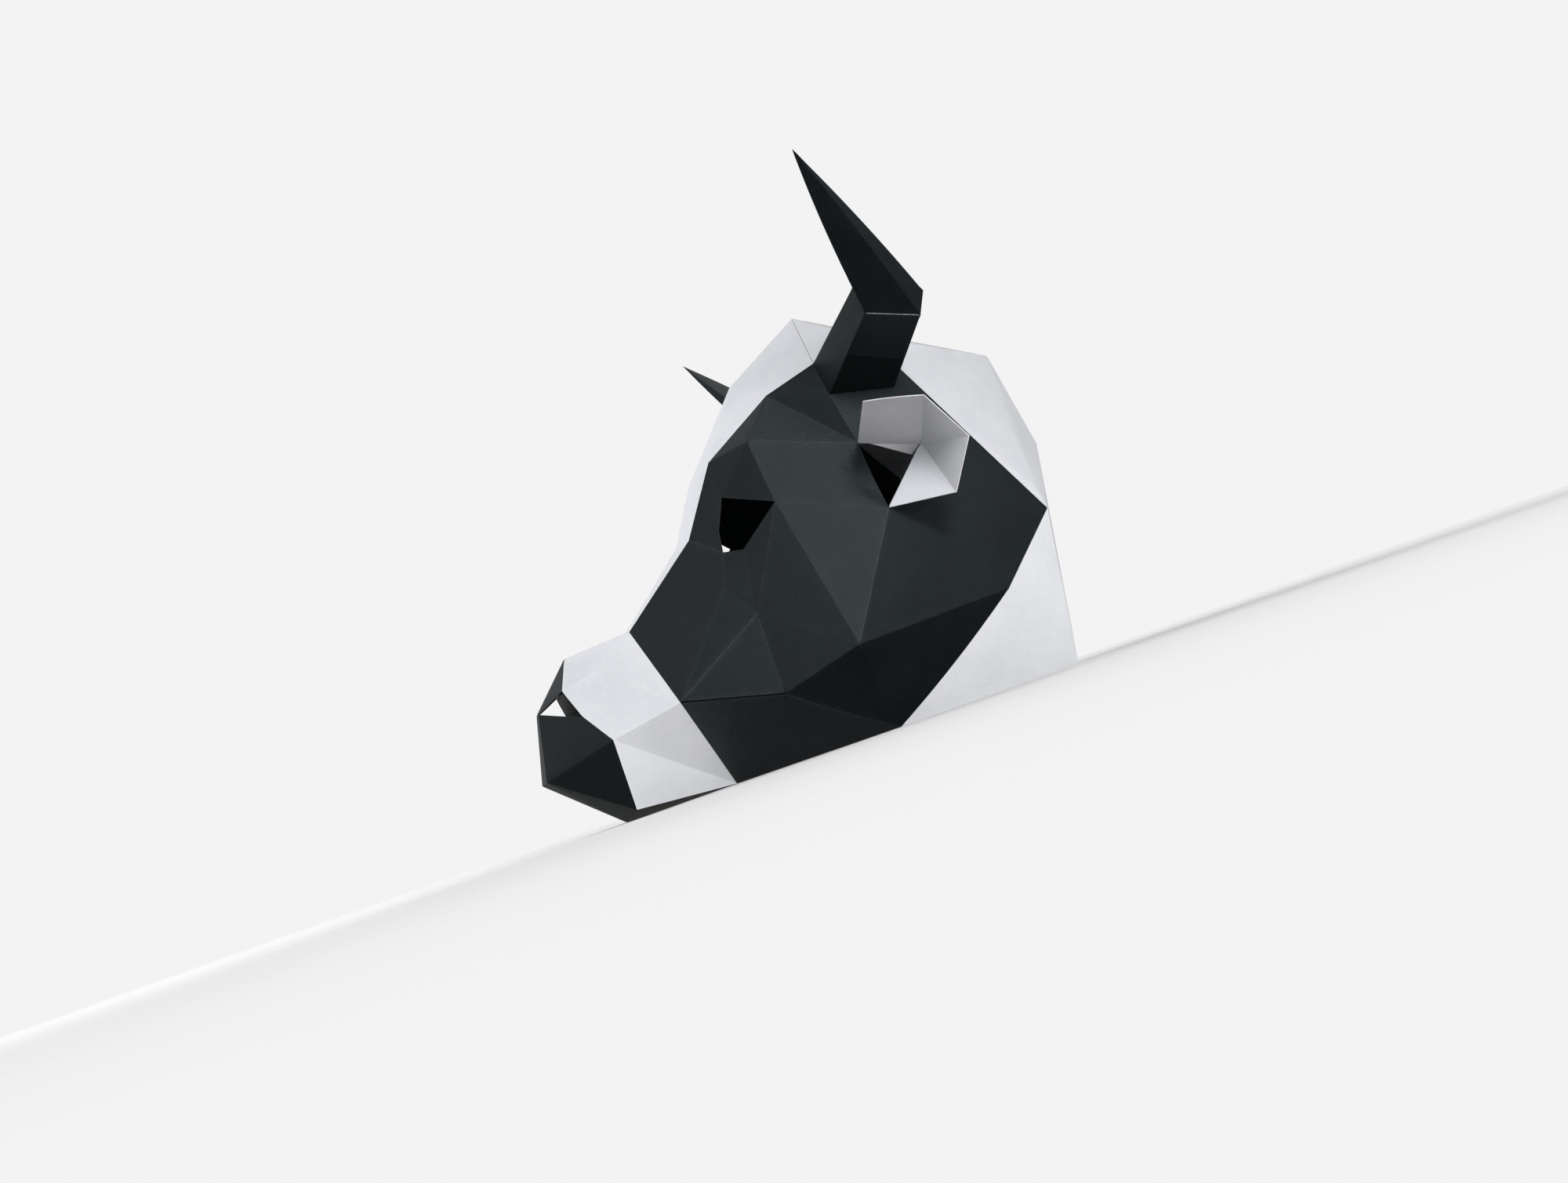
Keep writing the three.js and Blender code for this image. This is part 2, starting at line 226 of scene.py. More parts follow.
# White glue fills the seam under a horn's elbow, in millimetres.
BEAD_SEAM = pair(*DARK_TO)
BEAD_END, BEAD_SUNK, BEAD_DEPTH = 1.0, 0.1, 0.4

# A side of a facet, counter-clockwise, with the direction into the facet; and who has that side.
Side = namedtuple("Side", "key after start end inward")
Owner = namedtuple("Owner", "sheet facet side")


def corner(name, hand):
    """A corner's place in millimetres, from the middle of the box on the floor."""
    side, back, up = CORNERS[name]
    return Vector((hand * side, back - MIDDLE, up))


def corner_key(name, hand):
    """A corner's name and hand, which is 0 on the symmetry plane."""
    return (name, 0 if CORNERS[name][0] == 0 else hand)


def mean(points):
    return sum(points, Vector()) / len(points)


def newell(points):
    """The normal of an outline that may not be quite flat."""
    normal = Vector()
    for here, there in zip(points, points[1:] + points[:1]):
        normal += here.cross(there)
    return normal.normalized()


class Facet:
    """A facet of the left half, with hand 1, or its mirror image, with hand -1."""

    def __init__(self, names, hand):
        self.names = names if hand > 0 else names[::-1]
        self.keys = [corner_key(name, hand) for name in self.names]
        self.points = [corner(name, hand) for name in self.names]
        self.normal = newell(self.points)
        self.hand = hand
        self.number = 0         # among the facets of its sheet
        self.surface = []       # points of its outer skin

    def sides(self):
        for i, key in enumerate(self.keys):
            j = (i + 1) % len(self.keys)
            along = (self.points[j] - self.points[i]).normalized()
            inward = self.normal.cross(along)
            yield Side(key, self.keys[j], self.points[i], self.points[j], inward)

    def plane(self):
        """Two directions at right angles in the facet."""
        across = (self.points[1] - self.points[0]).normalized()
        return across, self.normal.cross(across)


def lay_out():
    """The sheets with their facets; a paired row makes a left and a right one."""
    sheets = []
    for row in SHEETS:
        halves = {hand: [Facet(f.split(), hand) for f in row["facets"]] for hand in (1, -1)}
        if not row["paired"]:
            sheets.append({**row, "facets": halves[1] + halves[-1]})
            continue
        for hand, suffix in ((1, "left"), (-1, "right")):
            sheets.append({**row, "name": f"{row['name']}_{suffix}", "facets": halves[hand]})
    return sheets


sheets = lay_out()

# What meets at each corner and each edge of a shell, and which sheets share an edge.
corner_normals, edge_normals, edge_owners = {}, {}, {}
for sheet in sheets:
    for facet in sheet["facets"]:
        for side in facet.sides():
            edge = pair(side.key, side.after)
            corner_normals.setdefault((sheet["shell"], side.key), []).append(facet.normal)
            edge_normals.setdefault((sheet["shell"], edge), []).append(facet.normal)
            edge_owners.setdefault(edge, []).append(Owner(sheet, facet, side))


def names_of(edge):
    return frozenset(name for name, _ in edge)


def slots_at(edge):
    return {owner.sheet["slot"] for owner in edge_owners[edge]}


def trim_of(edge):
    """Half the gap of a glued edge, and nothing on a free one."""
    if len(edge_owners[edge]) < 2:
        return 0.0
    return OPEN_SEAMS.get(names_of(edge), SEAM) / 2


def sheet_edges(sheet):
    """The edges that one facet of the sheet has, and those that two share."""
    seen = {}
    for facet in sheet["facets"]:
        for side in facet.sides():
            seen.setdefault(pair(side.key, side.after), []).append(Owner(sheet, facet, side))
    borders = {edge: uses[0] for edge, uses in seen.items() if len(uses) == 1}
    folds = {edge: uses for edge, uses in seen.items() if len(uses) == 2}
    return borders, folds


def mitre(normals):
    """The shift that lies one card thickness behind every given facet."""
    a = np.array(normals)
    m = a.T @ a + MITRE_EASE * np.eye(3)
    return Vector(np.linalg.solve(m, a.T @ np.full(len(a), -CARD)))


def bowed_by(edge, facet, middle, along):
    """How far the middle of an edge is pulled out of straight."""
    row = BOWED.get(names_of(edge))
    if row is None:
        return Vector()
    if row["away"] is None:
        return facet.normal * row["by"]
    out = middle - corner(row["away"], facet.hand)
    out -= along * out.dot(along)
    return out.normalized() * row["by"]


def edge_points(side):
    """Keys and places of the points along a side, without its second end."""
    edge = pair(side.key, side.after)
    count = max(1, round((side.end - side.start).length / STEP))
    along = (side.end - side.start).normalized()
    bow = bowed_by(edge, edge_owners[edge][0].facet, (side.start + side.end) / 2, along)
    flipped = side.after < side.key
    yield side.key, side.start
    for i in range(1, count):
        t = i / count
        place = side.start.lerp(side.end, t) + bow * (4 * t * (1 - t))
        yield (edge, count - i if flipped else i), place


def inside(point, ring):
    """Whether a point lies within an outline."""
    odd = False
    for (x0, y0), (x1, y1) in zip(ring, ring[1:] + ring[:1]):
        if (y0 > point[1]) != (y1 > point[1]):
            if point[0] < x0 + (point[1] - y0) * (x1 - x0) / (y1 - y0):
                odd = not odd
    return odd


def edge_distance(point, ring):
    """How far a point lies from the nearest edge of an outline."""
    a = np.array(ring)
    ab = np.roll(a, -1, axis=0) - a
    ap = np.array(point) - a
    t = np.clip((ap * ab).sum(1) / np.maximum((ab * ab).sum(1), TINY), 0, 1)
    return float(np.min(np.linalg.norm(ap - ab * t[:, None], axis=1)))


def draw_back(before, after):
    """The shift of a corner away from its two edges, each (inward, distance)."""
    (n1, d1), (n2, d2) = before, after
    cosine = n1.dot(n2)
    rest = 1 - cosine * cosine
    if rest < SAME_LINE:
        return (n1 + n2).normalized() * (d1 + d2) / 2
    shift = n1 * ((d1 - cosine * d2) / rest) + n2 * ((d2 - cosine * d1) / rest)
    return shift * min(1.0, CORNER_LIMIT * STEP / max(shift.length, TINY))


def facet_border(facet, inset):
    """Keys and places round a facet, drawn back from its folds and seams."""
    sides = list(facet.sides())
    slopes = []
    for i, side in enumerate(sides):
        turn = sides[i - 1].inward.angle(side.inward)
        sharp = turn > math.pi / 2
        slopes.append(SHARP_SHARE * (math.tan((math.pi - turn) / 2) if sharp else BLUNT_SLOPE))
    for i, side in enumerate(sides):
        before = sides[i - 1]
        wide_before = inset[pair(before.key, before.after)]
        wide = inset[pair(side.key, side.after)]
        for key, place in edge_points(side):
            if key == side.key:
                shift = draw_back((before.inward, wide_before), (side.inward, wide))
            else:
                near = slopes[i] * (place - side.start).length
                far = slopes[(i + 1) % len(sides)] * (side.end - place).length
                shift = side.inward * min(wide, near, far)
            yield key, place + shift


def points_inside(ring):
    """Points in staggered rows within an outline, each with its distance from the edge."""
    low, high = np.min(ring, axis=0), np.max(ring, axis=0)
    for row in range(int((high[1] - low[1]) / (STEP * ROW_PITCH)) + 2):
        y = low[1] + row * STEP * ROW_PITCH
        x = low[0] + (STEP / 2 if row % 2 else 0.0)
        while x < high[0]:
            gap = edge_distance((x, y), ring)
            if gap > EDGE_CLEAR * STEP and inside((x, y), ring):
                yield Vector((x, y)), gap
            x += STEP


def mesh_facet(facet, inset):
    """The facet's points as {key: place}, and its triangles by key."""
    border = list(facet_border(facet, inset))
    centre = mean([place for _, place in border])
    across, over = facet.plane()
    flat = [Vector(((p - centre).dot(across), (p - centre).dot(over))) for _, p in border]
    lift = np.array([(p - centre).dot(facet.normal) for _, p in border])
    ring = [tuple(p) for p in flat]
    grid = list(points_inside(ring))
    points = dict(border)
    keys = [key for key, _ in border]
    half = max((gap for _, gap in grid), default=1.0)
    swell = BOW * half * (BOW_USUAL + noise.noise(centre * BOW_NOISE))
    for spot, gap in grid:
        share = 1 - (1 - gap / half) ** 2
        away = ((np.array(ring) - np.array(spot)) ** 2).sum(1)
        weight = 1 / np.maximum(away, TINY) ** LIFT_FADE
        height = float((weight * lift).sum() / weight.sum())
        place = centre + across * spot[0] + over * spot[1]
        wave = RIPPLE * noise.noise(place / RIPPLE_LENGTH) * share
        key = ("in", len(keys))
        points[key] = place + facet.normal * (height + swell * share + wave)
        keys.append(key)
    spots = flat + [spot for spot, _ in grid]
    outline = [list(range(len(border)))]
    _, _, faces, origin, _, _ = delaunay_2d_cdt(spots, [], outline, INSIDE_ONLY, MERGE)
    return points, [[keys[origin[i][0]] for i in face] for face in faces]


class Skin:
    """The outer skin of a sheet, with what lies behind each point and how far it is painted
    lighter, as wear and as a painted highlight.
    """

    def __init__(self):
        self.places, self.behind, self.wear, self.root, self.faces = {}, {}, {}, {}, []

    def add(self, key, place, behind, wear=0.0, root=0.0):
        self.places[key] = place
        self.behind[key] = behind
        self.wear[key] = wear
        self.root[key] = root


def near_root(facet, place):
    """1 at the root of the underside of a horn, 0 at its elbow and on other facets; it places the
    painted shadow there.
    """
    if set(facet.names) != DARK_FACET:
        return 0.0
    root, elbow = (mean([corner(n, facet.hand) for n in names]) for names in (DARK_FROM, DARK_TO))
    along = elbow - root
    return 1 - (place - root).dot(along) / along.length_squared


def wear_and_highlight_of(sheet, borders, folds):
    """How far each edge of a sheet is painted lighter, as rubbed wear and as a painted highlight.
    """
    slot = sheet["slot"]
    worn_and_lit = {}
    for edge in borders:
        plain = WORN_AND_LIT_BESIDE_OTHER if len(slots_at(edge)) == 2 else WORN_AND_LIT_HEM
        worn_and_lit[edge] = WORN_AND_LIT.get(names_of(edge), plain[slot])
    for edge in folds:
        worn_and_lit[edge] = WORN_AND_LIT.get(names_of(edge), WORN_AND_LIT_FOLD[slot])
    return worn_and_lit


def add_facets(skin, sheet, inset, worn_and_lit):
    """The facets, drawn back from their edges. Gives the places of their corners."""
    shell = sheet["shell"]
    corner_places = {}
    for number, facet in enumerate(sheet["facets"]):
        facet.number = number
        points, triangles = mesh_facet(facet, inset)
        facet.surface = list(points.values())
        for key, place in points.items():
            wear = 0.0
            if key[0] == "in":
                normals = [facet.normal]
            elif isinstance(key[0], frozenset):
                normals = edge_normals[shell, key[0]]
                # a soft painted highlight spreads from the fold into the facet
                wear = worn_and_lit[key[0]] * HIGHLIGHT_BESIDE
            else:
                normals = corner_normals[shell, key]
                corner_places.setdefault(key, []).append(place)
            skin.add((number, key), place, mitre(normals), wear, near_root(facet, place))
        skin.faces.extend([(number, key) for key in triangle] for triangle in triangles)
    return corner_places


def fold_drop(first, second, middle):
    """How far a rounded fold lies off the meeting line of its two facets."""
    angle = first.normal.angle(second.normal)
    out = (first.normal + second.normal).normalized()
    hollow = first.normal.dot(mean(second.points) - middle) > 0
    return out * (FOLD * math.tan(angle / 4)) * (1 if hollow else -1)


def add_strips(skin, sheet, borders, folds, worn_and_lit, corner_places):
    """The strips along folds and hems, between the facets and on to the cut edges."""
    shell = sheet["shell"]
    leaving, arriving = {}, {}
    for edge, use in borders.items():
        leaving[use.side.key] = arriving[use.side.after] = (use.side.inward, trim_of(edge))
    for edge, uses in [*folds.items(), *((edge, [use]) for edge, use in borders.items())]:
        facet, side = uses[0].facet, uses[0].side
        if len(uses) == 2:
            shift = fold_drop(facet, uses[1].facet, (side.start + side.end) / 2)
        else:
            shift = side.inward * trim_of(edge)
        chain = [*edge_points(side), (side.after, side.end)]
        for key, place in chain:
            middle = ("mid", key)
            if isinstance(key[0], frozenset):
                skin.add(middle, place + shift, mitre(edge_normals[shell, edge]), worn_and_lit[edge])
            elif middle not in skin.places:
                if key in leaving:
                    spot = place + draw_back(arriving[key], leaving[key])
                else:
                    spot = place.lerp(mean(corner_places[key]), ROUNDED)
                skin.add(middle, spot, mitre(corner_normals[shell, key]), worn_and_lit[edge])
        one, two = facet.number, uses[-1].facet.number
        for (a, _), (b, _) in zip(chain, chain[1:]):
            skin.faces.append([(one, b), (one, a), ("mid", a), ("mid", b)])
            if len(uses) == 2:
                skin.faces.append([(two, a), (two, b), ("mid", b), ("mid", a)])


def skin_of(sheet):
    """The outer skin: facets, and strips along their folds and hems."""
    borders, folds = sheet_edges(sheet)
    inset = {edge: trim_of(edge) + HEM[sheet["slot"]] for edge in borders}
    inset.update({edge: FOLD for edge in folds})
    worn_and_lit = wear_and_highlight_of(sheet, borders, folds)
    skin = Skin()
    corner_places = add_facets(skin, sheet, inset, worn_and_lit)
    add_strips(skin, sheet, borders, folds, worn_and_lit, corner_places)
    return skin


# Materials of a piece, in the order of its slots.
SURFACE, CUT, GLUE = range(3)


def above_floor(place):
    """A place in metres that isn't below the floor."""
    return Vector((place.x, place.y, max(place.z, 0.0))) * MM


def build_sheet(sheet):
    """A closed mesh of one sheet, its two skins joined along the cut edges."""
    skin = sheet["skin"]
    bm = bmesh.new()
    wear = bm.verts.layers.float.new("wear")
    root = bm.verts.layers.float.new("root")
    outer = {key: bm.verts.new(above_floor(place)) for key, place in skin.places.items()}
    for key, vert in outer.items():
        vert[wear] = skin.wear[key]
        vert[root] = skin.root[key]
    for face in skin.faces:
        bm.faces.new([outer[key] for key in face])
    rims = []
    names = {vert: key for key, vert in outer.items()}
    for edge in bm.edges:
        if len(edge.link_faces) == 1:
            loop = edge.link_loops[0]
            rims.append((names[loop.vert], names[loop.link_loop_next.vert]))
    inner = {key: bm.verts.new(above_floor(skin.places[key] + skin.behind[key])) for key in outer}
    for face in skin.faces:
        bm.faces.new([inner[key] for key in reversed(face)])
    for a, b in rims:
        face = bm.faces.new((outer[b], outer[a], inner[a], inner[b]))
        face.material_index = CUT
        bm.edges.get((outer[a], outer[b])).smooth = False
        bm.edges.get((inner[a], inner[b])).smooth = False
    for face in bm.faces:
        face.smooth = True
    return bm


def add_plate(bm, outline, through, material=SURFACE):
    """A flat closed plate from an outline and the shift to its other face."""
    top = [bm.verts.new(p * MM) for p in outline]
    low = [bm.verts.new((p + through) * MM) for p in outline]
    made = [bm.faces.new(top), bm.faces.new(low[::-1])]
    for i in range(len(outline)):
        j = (i + 1) % len(outline)
        made.append(bm.faces.new((top[j], top[i], low[i], low[j])))
    for face in made:
        face.material_index = material


def fits(facet, points):
    """Whether points on a facet lie well inside its outline."""
    across, over = facet.plane()
    ring = [(p.dot(across), p.dot(over)) for p in facet.points]
    for p in points:
        spot = (p.dot(across), p.dot(over))
        if not inside(spot, ring) or edge_distance(spot, ring) < TAB_MARGIN:
            return False
    return True


def under(facet, place):
    """The place just behind the facet's card, whichever way the facet bends there."""
    near = sorted(facet.surface, key=lambda p: (p - place).length_squared)[:TAB_NEAR]
    height = min((p - place).dot(facet.normal) for p in near)
    return place + facet.normal * (height - CARD - TAB_GAP)


def tab_owners(edge, owners):
    """Who has the tab of a seam, and whose facet it is glued behind."""
    mine, theirs = owners
    other_card = mine.sheet["shell"] == theirs.sheet["shell"] and len(slots_at(edge)) == 2
    on_horn_or_ear = theirs.sheet["shell"] != "head"
    if on_horn_or_ear or other_card and theirs.sheet["slot"] == "black_card":
        return theirs, mine
    return mine, theirs


def in_hollow(mine, theirs):
    """Whether a seam within one shell lies in a hollow, which leaves no room for its tab."""
    reach = mean(mine.facet.points) - (theirs.side.start + theirs.side.end) / 2
    rises = theirs.facet.normal.dot(reach) > HOLLOW * reach.length
    return rises and mine.sheet["shell"] == theirs.sheet["shell"]


def add_tab(bm, edge, facet, side):
    """A glue tab behind a facet, along its seam."""
    shown = SHOWN_TAB_END if names_of(edge) in OPEN_SEAMS else {}
    ends = [shown.get(name, TAB_END) for name, _ in (side.key, side.after)]
    length = (side.end - side.start).length
    along = (side.end - side.start).normalized()
    for share in TAB_TRIES:
        depth = min(TAB_DEPTH, TAB_SHARE * length) * share
        slope = depth * TAB_SLOPE
        first, last = (clear / share for clear in ends)
        near, far = side.inward * TAB_START, side.inward * depth
        outline = [
            side.start + along * first + near,
            side.end - along * last + near,
            side.end - along * (last + slope) + far,
            side.start + along * (first + slope) + far,
        ]
        room = first + last + 2 * slope < length
        if depth > TAB_LEAST and room and fits(facet, outline[2:]):
            add_plate(bm, [under(facet, p) for p in outline], -facet.normal * TAB_CARD)
            return


def add_loose_tab(bm, facet, side):
    """The tab of an ear that has come away from the facet above the hole."""
    front, deep = corner(LOOSE_FROM, facet.hand), corner(LOOSE_TO, facet.hand)
    along = (deep - front).normalized()
    into = (-facet.normal * LOOSE_IN - side.inward * LOOSE_DOWN).normalized()
    gap = -facet.normal * (CARD + TAB_GAP)
    outline = [
        front + along * LOOSE_START + gap,
        deep - along * LOOSE_END + gap,
        deep - along * LOOSE_POINT + into * LOOSE_DEPTH + gap,
    ]
    add_plate(bm, outline, facet.normal.cross(along) * -TAB_CARD)


def add_tabs(bm, sheet):
    """Each seam has one tab: on the ear or horn, else on the black sheet or the one named first."""
    for edge, owners in edge_owners.items():
        if len(owners) != 2 or owners[0].sheet is owners[1].sheet:
            continue
        mine, theirs = tab_owners(edge, owners)
        if mine.sheet is not sheet or in_hollow(mine, theirs):
            continue
        if names_of(edge) == LOOSE_TAB:
            add_loose_tab(bm, theirs.facet, theirs.side)
        else:
            add_tab(bm, edge, theirs.facet, theirs.side)


def add_bead(bm, sheet):
    """The line of white glue in the elbow seam of a horn."""
    for edge, owners in edge_owners.items():
        if names_of(edge) != BEAD_SEAM or owners[1].sheet is not sheet:
            continue
        first, second = owners
        along = (second.side.end - second.side.start).normalized()
        start, end = second.side.start + along * BEAD_END, second.side.end - along * BEAD_END
        half = OPEN_SEAMS[BEAD_SEAM] / 2
        one, two = first.side.inward * half, second.side.inward * half
        out = (first.facet.normal + second.facet.normal).normalized()
        outline = [p - out * BEAD_SUNK for p in (start + one, end + one, end + two, start + two)]
        add_plate(bm, outline, -out * BEAD_DEPTH, GLUE)


# Noise in the card, each scale for a metre.
CARD_NOISE = {
    "cloud": {"scale": 24, "detail": 5, "stretch": (1, 1, 1), "roughness": 0.55},
    "streak": {"scale": 130, "detail": 5, "stretch": (1, 1, 6), "roughness": 0.75},
    "fibre": {"scale": 420, "detail": 5, "stretch": (1, 1, 4), "roughness": 0.7},
    "fine": {"scale": 1500, "detail": 3, "stretch": (1, 1, 1), "roughness": 0.55},
    "rub_and_glint": {"scale": 160, "detail": 4, "stretch": (1, 1, 1), "roughness": 0.55},
}
CUT_NOISE = {"scale": 700, "detail": 4, "stretch": (1, 1, 1), "roughness": 0.55}

# What the noise does, from its low to its high value.
CLOUDED = {"low": 0.3, "high": 0.7}
STREAKED = {"low": 0.45, "high": 0.7, "to_low": 0.0, "to_high": 0.7}
FIBROUS = {"low": 0.55, "high": 0.3, "to_low": 0.0, "to_high": 0.6}
RUBBED_AND_LIT = {"low": 0.3, "high": 0.65, "to_low": 0.45, "to_high": 1.0}
DULLED = {"low": 0.3, "high": 0.7}
CUT_CLOUDED = {"low": 0.35, "high": 0.65}
ROUGH_SPREAD = 0.06
CUT_ROUGH = 0.9

# Grain of the card: weight of its fibres and of its finest noise, and height in metres.
GRAIN_FIBRE, GRAIN_FINE, GRAIN_HEIGHT = 1.2, 0.35, 0.0003

# On black card the colour under a horn towards its root is a painted shadow.
CARD_LOOKS = {
    "black_card": {
        "deep": (0.0014, 0.0026, 0.0035), "pale": (0.0044, 0.0070, 0.0086),
        "rubbed_and_lit": (0.065, 0.074, 0.080), "tint": (0.82, 0.95, 1.0), "rough": 0.37,
        "grain": 0.9, "painted_shadow": (0.002, 0.002, 0.002)},
    "white_card": {
        "deep": (0.745, 0.755, 0.80), "pale": (0.85, 0.86, 0.90),
        "rubbed_and_lit": (0.93, 0.935, 0.945), "tint": (1.0, 1.0, 1.0), "rough": 0.6,
        "grain": 0.5, "painted_shadow": None},
}
CUT_LOOKS = {
    "black_card": {"deep": (0.012, 0.014, 0.016), "pale": (0.040, 0.043, 0.046)},
    "white_card": {"deep": (0.70, 0.70, 0.71), "pale": (0.84, 0.84, 0.85)},
}
GLUE_LOOK = {"deep": (0.30, 0.30, 0.30), "pale": (0.62, 0.62, 0.62)}


# Sockets of the node that mixes colours
MIX_SHARE, MIX_FIRST, MIX_SECOND, MIX_RESULT = 0, 6, 7, 2


def link(tree, source, target):
    tree.links.new(source, target)


def node(tree, kind, **values):
    made = tree.nodes.new(kind)
    for name, value in values.items():
        if name in made.inputs:
            made.inputs[name].default_value = value
        else:
            setattr(made, name, value)
    return made


def noise_at(tree, coords, scale, detail, stretch, roughness):
    mapping = node(tree, "ShaderNodeMapping", Scale=stretch)
    link(tree, coords, mapping.inputs["Vector"])
    made = node(tree, "ShaderNodeTexNoise", Scale=scale, Detail=detail, Roughness=roughness)
    link(tree, mapping.outputs["Vector"], made.inputs["Vector"])
    return made.outputs["Fac"]


def span(tree, value, low, high, to_low=0.0, to_high=1.0):
    """A value brought from one range to another, and held within it."""
    made = node(tree, "ShaderNodeMapRange")
    link(tree, value, made.inputs["Value"])
    made.inputs["From Min"].default_value = low
    made.inputs["From Max"].default_value = high
    made.inputs["To Min"].default_value = to_low
    made.inputs["To Max"].default_value = to_high
    return made.outputs["Result"]


def maths(tree, operation, first, second):
    made = node(tree, "ShaderNodeMath", operation=operation)
    for socket, value in zip(made.inputs, (first, second)):
        if isinstance(value, (int, float)):
            socket.default_value = value
        else:
            link(tree, value, socket)
    return made.outputs[0]


def mix(tree, share, first, second):
    """A colour between two, each a colour or a socket."""
    made = node(tree, "ShaderNodeMix", data_type="RGBA")
    link(tree, share, made.inputs[MIX_SHARE])
    for number, value in ((MIX_FIRST, first), (MIX_SECOND, second)):
        if isinstance(value, tuple):
            made.inputs[number].default_value = (*value, 1.0)
        else:
            link(tree, value, made.inputs[number])
    return made.outputs[MIX_RESULT]


def mix_shaders(tree, share, first, second):
    made = node(tree, "ShaderNodeMixShader")
    for socket, source in zip(made.inputs, (share, first, second)):
        link(tree, source, socket)
    return made.outputs[0]


def facing(tree, direction, axis):
    """How far a direction points along an axis."""
    made = node(tree, "ShaderNodeVectorMath", operation="DOT_PRODUCT")
    link(tree, direction, made.inputs[0])
    made.inputs[1].default_value = Vector(axis).normalized()
    return made.outputs["Value"]


def attribute(tree, name):
    return node(tree, "ShaderNodeAttribute", attribute_name=name).outputs["Fac"]


def new_material(name):
    material = bpy.data.materials.new(name)
    material.use_nodes = True
    tree = material.node_tree
    coords = node(tree, "ShaderNodeTexCoord").outputs["Object"]
    return material, tree, tree.nodes["Principled BSDF"], coords


def card_material(name, deep, pale, rubbed_and_lit, tint, rough, grain, painted_shadow):
    """Matte card: cloudy colour, fibres along the sheet, folds and hems painted lighter as rubbed
    wear and as a painted highlight, and on black card a painted shadow under each horn towards its
    root.
    """
    material, tree, shader, coords = new_material(name)
    noises = (noise_at(tree, coords, **row) for row in CARD_NOISE.values())
    cloud, streak, fibre, fine, rub_and_glint = noises
    base = mix(tree, span(tree, cloud, **CLOUDED), deep, pale)
    base = mix(tree, span(tree, streak, **STREAKED), base, pale)
    base = mix(tree, span(tree, fibre, **FIBROUS), base, deep)
    # Folds and hems painted lighter: partly rubbed wear, partly a painted highlight where they
    # catch the light.
    worn_and_lit = maths(tree, "MULTIPLY", attribute(tree, "wear"), span(tree, rub_and_glint, **RUBBED_AND_LIT))
    base = mix(tree, worn_and_lit, base, rubbed_and_lit)
    dull = span(tree, streak, **DULLED, to_low=rough - ROUGH_SPREAD, to_high=rough + ROUGH_SPREAD)
    # Painted shadow under a horn: darker colour and duller sheen towards its root.
    if painted_shadow:
        root = attribute(tree, "root")
        dark = span(tree, root, DARK_LINE, DARK_LINE + DARK_BLUR, 0.0, DARK_SHARE)
        base = mix(tree, dark, base, painted_shadow)
        dull = maths(tree, "MAXIMUM", dull, dark)
    shader.inputs["Specular Tint"].default_value = (*tint, 1.0)
    link(tree, base, shader.inputs["Base Color"])
    link(tree, dull, shader.inputs["Roughness"])
    finer = maths(tree, "ADD", maths(tree, "MULTIPLY", fibre, GRAIN_FIBRE),
                  maths(tree, "MULTIPLY", fine, GRAIN_FINE))
    bump = node(tree, "ShaderNodeBump", Strength=grain, Distance=GRAIN_HEIGHT)
    link(tree, maths(tree, "ADD", streak, finer), bump.inputs["Height"])
    link(tree, bump.outputs["Normal"], shader.inputs["Normal"])
    return material


def cut_material(name, deep, pale):
    """The fibrous cut edge of the card, or a line of glue."""
    material, tree, shader, coords = new_material(name)
    share = span(tree, noise_at(tree, coords, **CUT_NOISE), **CUT_CLOUDED)
    link(tree, mix(tree, share, deep, pale), shader.inputs["Base Color"])
    shader.inputs["Roughness"].default_value = CUT_ROUGH
    return material


glue = cut_material("white_glue", **GLUE_LOOK)
materials = {}
for slot in CARD_LOOKS:
    surface = card_material(slot, **CARD_LOOKS[slot])
    materials[slot] = (surface, cut_material(slot + "_cut", **CUT_LOOKS[slot]), glue)

# Pieces
for sheet in sheets:
    sheet["skin"] = skin_of(sheet)
for sheet in sheets:
    bm = build_sheet(sheet)
    add_tabs(bm, sheet)
    add_bead(bm, sheet)
    mesh = bpy.data.meshes.new(sheet["name"] + "_card")
    bm.to_mesh(mesh)
    bm.free()
    for material in materials[sheet["slot"]]:
        mesh.materials.append(material)
    piece = bpy.data.objects.new(sheet["name"] + "_card", mesh)
    bpy.context.scene.collection.objects.link(piece)
    flat = piece.modifiers.new("flat_facets", "WEIGHTED_NORMAL")
    flat.mode = "FACE_AREA"
    flat.keep_sharp = True
    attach(piece, "root")
    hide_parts(sheet["name"])

# Floor and backdrop, in metres: the floor fades into the backdrop with distance.
WHITE = (1.0, 1.0, 1.0, 1.0)
BACKDROP = (0.895, 0.895, 0.895, 1.0)
FLOOR_RADIUS, FLOOR_SIDES = 3.0, 128
FLOOR_FADE = (0.35, 1.0)
FLOOR_TONE = (0.66, 0.66, 0.66, 1.0)        # to the camera
FLOOR_GLOW = 0.22
FLOOR_BOUNCE = (0.495, 0.482, 0.458, 1.0)   # to the mask

# The sky: a faint fill from above, and for the card's sheen one that brightens upwards, with a
# darker patch overhead and a lighter one below. A range is of height or of nearness to an axis.
FILL_RANGE, FILL_ABOVE = (-0.1, 0.5), 0.15
SHEEN_RANGE, SHEEN_ABOVE = (-0.72, 0.8), 0.568
OVERHEAD, OVERHEAD_RANGE, OVERHEAD_SHARE = (0.45, 0.10, 0.88), (0.82, 0.98), 0.25
BELOW, BELOW_RANGE, SHEEN_BELOW = (-0.22, -0.42, -0.88), (0.75, 1.0), 0.32

